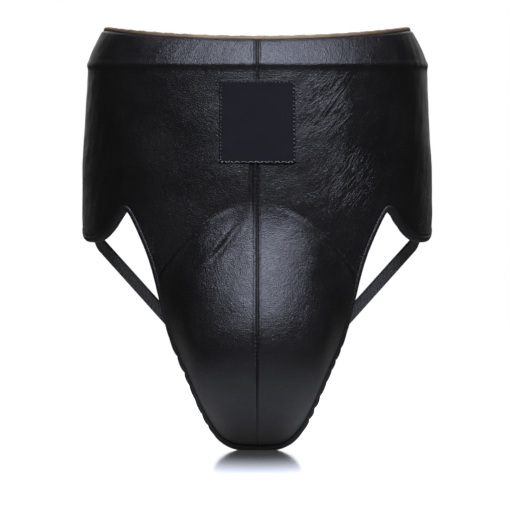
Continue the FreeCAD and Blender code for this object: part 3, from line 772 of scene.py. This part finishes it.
def label():
    """Blank cloth patch with a folded top edge and its own kind of stitches along each side."""
    half = LABEL_WIDTH / 2
    xs = np.linspace(-half, half, 56)
    zs = np.linspace(LABEL_TOP - LABEL_HEIGHT, LABEL_TOP, 60)
    z = zs[None, :]
    inset = np.minimum(half - np.abs(xs)[:, None], np.minimum(zs[-1] - zs, zs - zs[0])[None, :])
    raise_by = LABEL_LIFT * ease(inset / 0.9 + 0.25) + 0.1 * waves(xs[:, None], z, 22, 5)
    made = sheet_mesh("label_patch_cloth", wall(angle_at(xs)[:, None], z, -raise_by - 0.5), LABEL)
    settle(made, "label_patch")
    dice = np.random.default_rng(4)
    trim, top, bottom = half - 1.5, zs[-1] - 1.6, zs[0] + 1.3
    sides_of_label = [  # start, end, pitch, turn, alternate turn, thread length, thread radius
        ((-trim, top), (trim, top), 3.0, 0, 10, 0.8, 0.20),
        ((trim + 0.4, top), (trim + 0.4, bottom), 3.3, 74, 10, 1.6, 0.22),
        ((trim, bottom), (-trim, bottom), 2.6, 0, 24, 2.5, 0.30),
        ((-trim, bottom), (-trim, top), 2.9, 30, 30, 0.8, 0.22)]
    for row, (start, end, pitch, turn, swing, length, radius) in enumerate(sides_of_label):
        (x0, z0), (x1, z1) = start, end
        count = int(math.hypot(x1 - x0, z1 - z0) / pitch)
        places = []
        for k in range(count):
            s = (k + 0.5 + dice.uniform(-0.16, 0.16)) / count
            x, zz = x0 + (x1 - x0) * s, z0 + (z1 - z0) * s
            a = angle_at(x)
            centre = wall(a, zz, -LABEL_THREAD_AT - dice.uniform(0, 0.1))
            ahead = wall(angle_at(x + (x1 - x0) * 0.01), zz + (z1 - z0) * 0.01, 0)
            normal = outward(a)
            tilt = math.radians(turn + dice.uniform(-14, 14) + (swing if k % 2 else -swing))
            along = Matrix.Rotation(tilt, 3, Vector(normal)) @ Vector(ahead - wall(a, zz, 0))
            places.append((centre, np.array(along), normal))
        made = stitch_row("label_stitches_" + str(row + 1), places, THREAD, length=length, radius=radius)
        settle(made)
    # A thin tube along the label's top edge, coloured light grey as a painted highlight of the fold.
    rings = []
    for x in np.linspace(-half + 0.4, half - 0.4, 40):
        middle = wall(angle_at(x), zs[-1] - 0.2 + 0.12 * math.sin(x * 0.5), -1.05)
        rings.append(round_ring(middle, outward(angle_at(x)), np.array([0, 0, 1]), 0.26, 0.26))
    made = tube_mesh("label_fold_painted_highlight", rings, LABEL_FOLD_HIGHLIGHT)
    settle(made)


def inner_pieces():
    """Foam and the hard cup stay as built, inside, with their own finish."""
    for node in ("abdominal_foam", "hip_foam_left", "hip_foam_right", "cup_cover_foam", "cup_inner_foam"):
        set_material(node, FOAM)
    set_material("hard_cup", CUP_SHELL)


def set_material(node, material):
    made = frame["nodes"][node]
    made.data.materials.clear()
    made.data.materials.append(material)


# Back belt

BAND_RINGS = 60


def hinge_angle():
    """Degrees round of the sewn seam that each belt half swings about."""
    edge = WING_END + SEAM_STRIP
    radius = np.linalg.norm(plan(edge + 0.5, 0, 0) - plan(edge - 0.5, 0, 0))
    return edge + (BELT_THICK / 2 + BELT_CLEAR) / radius


def under_run(angle):
    """Depth of the lower belt half's middle."""
    return EDGE_PAD / 2


def outer_run(angle):
    """Depth of the upper belt half's middle, which steps out over the lower half."""
    out = BELT_THICK + 2 * GRIP_THICK + 2 * SURFACE_GAP + BELT_CLEAR
    return EDGE_PAD / 2 - out * float(ease((abs(angle) - hinge_angle() - STEP_OUT_START) / STEP_OUT_SPAN))


def belt_band(name, start, end, run, thick, height, material, corner=0.5, round_end=0.0, bulge=0.0):
    """Upright band along the back; run gives the depth of its middle at each angle."""
    rings = []
    outline = rounded_section(height, thick, corner, across=16)
    length = abs(end - start)
    for s in np.linspace(0, 1, BAND_RINGS):
        angle = start + (end - start) * s
        from_end = (1 - s) * length * 1.9
        shrink = 1.0
        if round_end and from_end < round_end:
            quarter = math.sqrt(max(0.0, 1 - (1 - from_end / round_end) ** 2))
            shrink = 1 - (1 - quarter) * 2 * round_end / height
        ring = []
        for across, through_it in outline:
            z = BELT_MIDDLE + across * shrink
            swell_out = bulge * math.sin(math.pi * s) * math.cos(math.pi * across / height)
            ring.append(plan(angle, z, run(angle) - through_it - swell_out))
        rings.append(np.array(ring))
    return tube_mesh(name, rings, material, flip=end < start)


def tab_stitches(name, start, end, run, body):
    """Box of stitches round a belt tab, on both faces."""
    places = []
    inset = 3.5
    sign = 1 if end > start else -1
    corner_angles = (start + sign * inset / 2.2, end - sign * inset / 2.2)
    low, high = BELT_MIDDLE - TAB_HEIGHT / 2 + inset, BELT_MIDDLE + TAB_HEIGHT / 2 - inset
    level = [[(a, z) for a in np.linspace(*corner_angles, 40)] for z in (low, high)]
    upright = [[(a, z) for z in np.linspace(low, high, 30)] for a in corner_angles]
    for face in (-1, 1):
        for line in level + upright:
            points = [plan(a, z, run(a) + face * (BELT_THICK / 2 + 0.02)) for a, z in line]
            outs = [outward(np.array(a)) * -face for a, _ in line]
            places += along_line(points, outs)
    made = stitch_row(name, places, BLACK_THREAD)
    settle(made, body=body)


def blend_at_seam(made):
    """Bakes the elastic band's placement into its mesh; the band is not hung on any body."""
    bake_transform(made)


def belt():
    """Both belt halves: the right one lies underneath, and the left one laps over it."""
    end = 180 - BELT_CENTRE_GAP
    tab = end - TAB_LENGTH
    lap = 180 + BELT_OVERLAP
    tape_at = BELT_THICK / 2 + SURFACE_GAP + GRIP_THICK / 2
    halves = [  # name, side, the tab's start, end, run and rounding, the tape's name, start, end and finish
        ("right", -1, -tab, -end, under_run, 8, "loop", -tab - GRIP_MARGIN, -end + GRIP_MARGIN, LOOPS),
        ("left", 1, end - TAB_LEAD, lap, outer_run, 12, "hook", 180 + BELT_CENTRE_GAP + GRIP_MARGIN,
         lap - GRIP_MARGIN, HOOKS)]
    for name, side, first, last, run, rounding, tape, tape_start, tape_end, finish in halves:
        body = "belt_" + name + "_half"
        made = belt_band("belt_elastic_" + name + "_band", side * (WING_END + 0.6), first + side * 0.2, run,
                         BELT_THICK, BELT_HEIGHT, BELT_ELASTIC, bulge=0.4)
        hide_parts("belt_elastic_" + name)
        blend_at_seam(made)
        made = belt_band("belt_tab_" + name + "_leather", first, last, run, BELT_THICK, TAB_HEIGHT, BLACK,
                         round_end=rounding)
        settle(made, "belt_tab_" + name, body=body)
        tab_stitches("belt_tab_" + name + "_stitches", first, last, run, body)
        made = belt_band(tape + "_tape_patch", tape_start, tape_end, lambda a: run(a) + side * tape_at,
                         GRIP_THICK, GRIP_HEIGHT, finish, corner=0.4)
        settle(made, tape + "_patch", body=body)


def box_lines(start, end, low, high, steps):
    """The four sides of a box of stitches, as angles and heights."""
    corners = [(start, low), (start, high), (end, high), (end, low), (start, low)]
    share = np.linspace(0, 1, steps)
    return [(a0 + (a1 - a0) * share, z0 + (z1 - z0) * share)
            for (a0, z0), (a1, z1) in zip(corners[:-1], corners[1:])]


def squared(value):
    """Pushes a sine or cosine towards -1 and 1, which turns an oval towards a rounded box."""
    return math.copysign(abs(value) ** 0.6, value)


def wing_ends():
    """The wing's rear edge: a folded leather strip over the raw edge, and a sewn reinforcement."""
    low, high = float(hem(WING_END)) - 1.0, float(rim(WING_END)) + 1.0
    around = [2 * math.pi * k / 16 for k in range(16)]
    for name, side in sides():
        turns = [WING_END + 0.15 + 0.95 * (1 + squared(math.cos(a))) for a in around]
        depths = [EDGE_PAD / 2 + (EDGE_PAD / 2 + 0.2) * squared(math.sin(a)) for a in around]
        rings = [np.array([wall(side * turn, z, deep) for turn, deep in zip(turns, depths)])
                 for z in low + (high - low) * np.linspace(0, 1, 70)]
        made = tube_mesh("wing_end_fold_" + name, rings, BLACK_EDGE, flip=side > 0)
        settle(made, "belt_seam_strip_" + name)

        turns = np.linspace(WING_END - ANCHOR_ANGLE, WING_END - 0.4, 40)
        reach = BELT_HEIGHT / 2 + ANCHOR_MARGIN
        heights = np.linspace(BELT_MIDDLE - reach, BELT_MIDDLE + reach, 70)
        from_level = np.minimum(heights - heights[0], heights[-1] - heights)[None, :]
        from_edge = np.minimum((turns - turns[0])[:, None] * 2.0, from_level)
        lift = ANCHOR_THICK * ease(from_edge / 1.1 + 0.15) - 0.35 * bell(from_edge - 3.2)
        points = wall((turns * side)[:, None], heights[None, :], -lift - 0.25)
        made = sheet_mesh("belt_anchor_" + name + "_patch", points, BLACK, flip=side < 0)
        settle(made, "belt_anchor_" + name)
        places = []
        for angles, z in box_lines(turns[0] + 1.6, turns[-1] - 1.0, heights[0] + 3.2, heights[-1] - 3.2, 40):
            places += along_line(wall(side * angles, z, -ANCHOR_THICK), outward(side * angles))
        made = stitch_row("belt_anchor_" + name + "_stitches", places, BLACK_THREAD)
        settle(made)


# Leg straps

RUN_STEPS, SEWN_STEPS = 60, 15      # sections along a strap's straight run and steps along its sewn end


def frame_on(side, point, along, width):
    """A strap's place, its direction, its width's direction and the one through it."""
    along = unit(along)
    width = unit(width - along * np.dot(width, along))
    return point, along, width, np.cross(along, width) * side


def lining_normal(angle, z):
    """Direction out of the body square to the lining, whose thickness tapers at the edges."""
    round_it = on_lining(angle + SLOPE_STEP, z) - on_lining(angle - SLOPE_STEP, z)
    up_it = on_lining(angle, z + SLOPE_STEP) - on_lining(angle, z - SLOPE_STEP)
    return unit(np.cross(round_it, up_it))


def strap_route(side):
    """Frames along a leg strap, from behind the cup to the inside of the hip wing."""
    foot_angle = side * STRAP_FOOT_ANGLE
    foot_z = float(hem(foot_angle)) + STRAP_FOOT_RISE
    lift = LAYER_GAP + TAB_THICK + LAYER_GAP + STRAP_THICK / 2
    foot = on_lining(foot_angle, foot_z, lift + STRAP_FOOT_TILT * STRAP_WIDTH)
    low = float(hem(side * STRAP_ANGLE)) + STRAP_SEAT
    sewn, facing = [], []
    for share in np.linspace(0, 1, SEWN_STEPS + 1):
        angle = side * (STRAP_ANGLE + STRAP_LEAD * share)
        z = low + STRAP_SEWN * share
        facing.append(lining_normal(angle, max(z, low - STRAP_SEAT)))
        sewn.append(on_lining(angle, z) - facing[-1] * (lift + STRAP_SEAT_LIFT))
    seat = sewn[0]
    run = unit(seat - foot)
    level = unit(np.cross(run, outward(np.array(side * STRAP_ANGLE)))) * side
    flat_foot = unit(wall(foot_angle, foot_z - 6, 0) - wall(foot_angle, foot_z + 6, 0))
    bend = seat - run * STRAP_BEND
    frames = []
    for share in np.linspace(0, 1, RUN_STEPS):
        turn = float(ease(share / STRAP_TWIST))
        width = flat_foot * (1 - turn) + level * turn
        frames.append(frame_on(side, foot + (bend - foot) * share, run, width))
    last = int(round(STRAP_BEND_SHARE * SEWN_STEPS))
    across = [unit(np.cross(sewn[k] - sewn[k - 1], facing[k])) * side for k in range(1, SEWN_STEPS + 1)]
    for k in range(1, 12):
        t = k / 11.0
        point = bend * (1 - t) ** 2 + seat * (2 * t * (1 - t)) + sewn[last] * t * t
        along = (seat - bend) * (1 - t) + (sewn[last] - seat) * t
        frames.append(frame_on(side, point, along, level * (1 - t) + across[last - 1] * t))
    for k in range(last + 1, SEWN_STEPS + 1):
        frames.append(frame_on(side, sewn[k], sewn[k] - sewn[k - 1], across[k - 1]))
    return frames


def webbing(name, frames, side, shift=0.0):
    """Strap webbing along the frames, moved through its own thickness by the shift."""
    outline = rounded_section(STRAP_WIDTH, STRAP_THICK, 0.7, across=10)
    rings = [np.array([point + across * u + through_it * (v + shift) for u, v in outline])
             for point, along, across, through_it in frames]
    return tube_mesh(name, rings, STRAP_ELASTIC, flip=side > 0)


def leg_straps():
    """Both leg straps with their tails, keepers and the patches that they are sewn to."""
    for name, side in sides():
        frames = strap_route(side)
        made = webbing("leg_strap_" + name + "_webbing", frames, side)
        settle(made, "leg_strap_" + name)
        foot, bend = frames[0][0], frames[RUN_STEPS - 1][0]
        _, along, across, through_it = frames[RUN_STEPS - 2]
        middle = foot + (bend - foot) * KEEPER_AT
        tail = [(middle + along * (TAIL_LENGTH * share), along, across, through_it)
                for share in np.linspace(-0.5, 0.5, 21)]
        made = webbing("strap_tail_" + name + "_webbing", tail, side, STRAP_THICK + LAYER_GAP)
        settle(made, "strap_tail_" + name)
        set_material("strap_keeper_" + name, KEEPER)
        seat = side * (STRAP_ANGLE + STRAP_LEAD / 2)
        strap_patch("strap_tab_" + name, seat - TAB_HALF_ANGLE, seat + TAB_HALF_ANGLE, TAB_LOW,
                    STRAP_SEAT + STRAP_SEWN + TAB_MARGIN)
    strap_patch("strap_foot_patch", -TAB_HALF_ANGLE, TAB_HALF_ANGLE, FOOT_PATCH_LOW,
                STRAP_FOOT_RISE + FOOT_PATCH_MARGIN)


def strap_patch(node, start, end, low, high):
    """Leather patch sewn on the lining under a strap's end."""
    turns = np.linspace(start, end, 34)
    rise = np.linspace(low, high, 40)
    angle = turns[:, None]
    z = hem(angle) + rise[None, :]
    across = (HALF_WIDTH + HALF_DEPTH) / 2 * math.pi / 180
    from_edge = np.minimum(np.minimum(turns - start, end - turns)[:, None] * across,
                           np.minimum(rise - low, high - rise)[None, :])
    lift = (LAYER_GAP + TAB_THICK) * ease(from_edge / 1.2 + 0.1)
    made = sheet_mesh(node + "_leather", on_lining(angle, z, lift), BLACK, flip=True)
    settle(made, node)
    places = []
    for angles, above in box_lines(start + 1.2, end - 1.2, low + 2.6, high - 2.6, 24):
        z = hem(angles) + above
        places += along_line(on_lining(angles, z, LAYER_GAP + TAB_THICK), -outward(angles))
    made = stitch_row(node + "_stitches", places, BLACK_THREAD)
    settle(made)


# Stage, light and camera

TIP = CAD_BOX[0][2]                 # height of the object's lowest point
FLOOR_LEVEL = TIP + 0.0009          # the soft tip is pressed into the floor by this much
FLOOR_HALF = 12                     # half the floor's side, in metres
WORLD_FRONT = 0.025                 # brightness of the room in front of the object
COOL = (0.86, 0.93, 1.18)           # colour of the studio lamps
WHITE = (1, 1, 1)
LAMPS = [  # name, place, target, size, power, colour
    ("key", (0.09, -0.90, 0.90), (0, -0.08, -0.15), (1.15, 1.0), 31.5, COOL),
    ("top", (0.02, -0.22, 1.25), (0, -0.08, -0.15), (0.20, 0.6), 5.5, COOL),
    ("low_fill", (0.0, -1.5, -0.05), (0, -0.05, -0.22), (0.30, 0.45), 0.3, WHITE),
    ("back_fill", (0.0, 1.5, 1.2), (0, 0, -0.15), (1.4, 0.9), 17, WHITE),
]
CAMERA_TARGET = (-0.0018, -0.05, -0.186)
CAMERA_DISTANCE, CAMERA_ELEVATION, CAMERA_LENS = 2.6, 3.0, 221.8


def seen_by_camera(tree, others, camera_sees):
    """One value for rays straight from the camera and another for all others."""
    ray = add(tree, "LightPath").outputs["Is Camera Ray"]
    return spread(tree, ray, others, camera_sees)


def floor_material():
    """White; polished under the object's tip so that it mirrors it there, and plain further out; to rays
    other than the camera's it carries a painted pool of light in front of the object.
    """
    material, tree, shader, place = start_material("floor_white")
    # Painted light: a bright pool on the floor in front of the object, seen only in reflections and bounce
    # light.
    painted_light_pool = smooth(tree, away_from(tree, place, (0, -0.13, TIP)), 0.42, 0.05, (0.02, 0.20))
    give(tree, shader, {"Base Color": seen_by_camera(tree, painted_light_pool, 0.82), "Roughness": 0.9,
                        "Specular IOR Level": 0.0, "Emission Color": (1, 1, 1, 1),
                        "Emission Strength": seen_by_camera(tree, 0.14, 0.7)})
    mirror = add(tree, "BsdfGlossy", {"Color": (1, 1, 1, 1), "Roughness": 0.13})
    bright = add(tree, "Emission", {"Strength": seen_by_camera(tree, 0.06, 1.0)})
    polish = smooth(tree, away_from(tree, place, (0, -0.07, TIP)), 0.96, 0.0, (0.02, 0.26))
    graze = add(tree, "Fresnel", {"IOR": 1.5}).outputs["Fac"]
    gloss = maths(tree, "MULTIPLY", spread(tree, graze, 0.0, 1.0, (0.12, 0.44)), polish)
    near = add(tree, "MixShader", {0: gloss, 1: shader.outputs["BSDF"], 2: mirror.outputs["BSDF"]})
    far = smooth(tree, away_from(tree, place, (0, 0, 0)), 0.0, 1.0, (0.46, 0.80))
    whole = add(tree, "MixShader",
                {0: far, 1: near.outputs["Shader"], 2: bright.outputs["Emission"]})
    tree.links.new(whole.outputs["Shader"], tree.nodes["Material Output"].inputs["Surface"])
    return material


def floor():
    mesh = bpy.data.meshes.new("floor")
    corners = [(x * FLOOR_HALF, y * FLOOR_HALF, FLOOR_LEVEL) for x, y in ((-1, -1), (1, -1), (1, 1), (-1, 1))]
    mesh.from_pydata(corners, [], [(0, 1, 2, 3)])
    mesh.materials.append(floor_material())
    made = bpy.data.objects.new("floor", mesh)
    bpy.context.collection.objects.link(made)


def world():
    """White for the camera; to other rays it is bright far behind the object and dim elsewhere."""
    made = bpy.data.worlds.new("studio")
    bpy.context.scene.world = made
    made.use_nodes = True
    tree = made.node_tree
    direction = add(tree, "TexCoord").outputs["Generated"]
    to_rear = add(tree, "SeparateXYZ", {"Vector": direction}).outputs["Y"]
    room = smooth(tree, to_rear, WORLD_FRONT, 1.0, (0.72, 0.98))
    give(tree, tree.nodes["Background"], {"Color": (1, 1, 1, 1), "Strength": seen_by_camera(tree, room, 1.0)})


def aim(made, place, target):
    made.location = place
    made.rotation_euler = (Vector(target) - Vector(place)).to_track_quat("-Z", "Y").to_euler()
    bpy.context.collection.objects.link(made)


def lamp(name, place, target, size, power, colour):
    data = bpy.data.lights.new(name, "AREA")
    data.color = colour
    data.shape = "RECTANGLE"
    data.size, data.size_y = size
    data.energy = power
    aim(bpy.data.objects.new(name, data), place, target)


def camera():
    data = bpy.data.cameras.new("camera")
    data.sensor_width = 36
    data.lens = CAMERA_LENS
    made = bpy.data.objects.new("camera", data)
    elevation = math.radians(CAMERA_ELEVATION)
    back = Vector((0, -math.cos(elevation), math.sin(elevation))) * CAMERA_DISTANCE
    aim(made, Vector(CAMERA_TARGET) + back, CAMERA_TARGET)
    bpy.context.scene.camera = made


camera()
outer_leather()
linings()
welt()
bindings()
seam_stitches()
label()
inner_pieces()
wing_ends()
belt()
leg_straps()
floor()
world()
for settings in LAMPS:
    lamp(*settings)

bpy.context.scene.view_settings.view_transform = "Standard"
